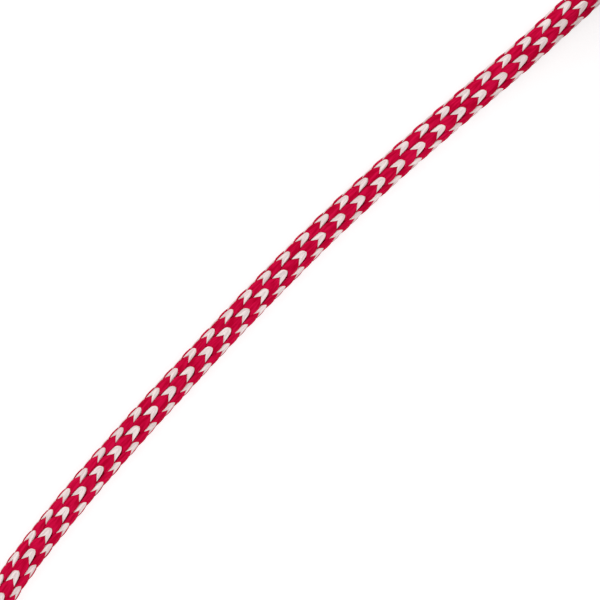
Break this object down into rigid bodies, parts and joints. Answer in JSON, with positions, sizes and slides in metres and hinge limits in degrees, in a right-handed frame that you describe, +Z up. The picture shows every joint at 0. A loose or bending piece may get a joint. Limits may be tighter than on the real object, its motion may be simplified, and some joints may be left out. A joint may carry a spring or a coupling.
{
  "type": "dock line",
  "caption": "Round solid braid line in red and white, with a seized eye at one end and a whipped, fused end at the other, coiled and held by hook and loop straps.",
  "frame": {"origin": "on the floor, under the middle of the part's outline", "axes": "+Z up from the floor; the standing part runs from the -X -Y corner towards the coil, which lies at +X"},
  "size_m": [0.3926, 0.2453, 0.0309],
  "materials": {
    "cover_red": "satin",
    "cover_white": "satin",
    "core_yarn": "matte",
    "twine": "satin",
    "fused_end": "gloss",
    "strap_loop": "matte",
    "strap_hook": "matte"
  },
  "bodies": {
    "root": {"standing_cover": "cover_red", "coil_turns": "cover_red", "eye_cover": "cover_red", "standing_core": "core_yarn", "eye_core": "core_yarn", "throat_seizing": "twine", "end_seizing": "twine", "bitter_end_whipping": "twine", "tail_whipping": "twine", "bitter_end_tip": "fused_end", "tail_tip": "fused_end", "coil_strap": "strap_loop", "eye_strap": "strap_loop", "coil_strap_tab": "strap_hook", "eye_strap_tab": "strap_hook"}
  },
  "joints": []
}
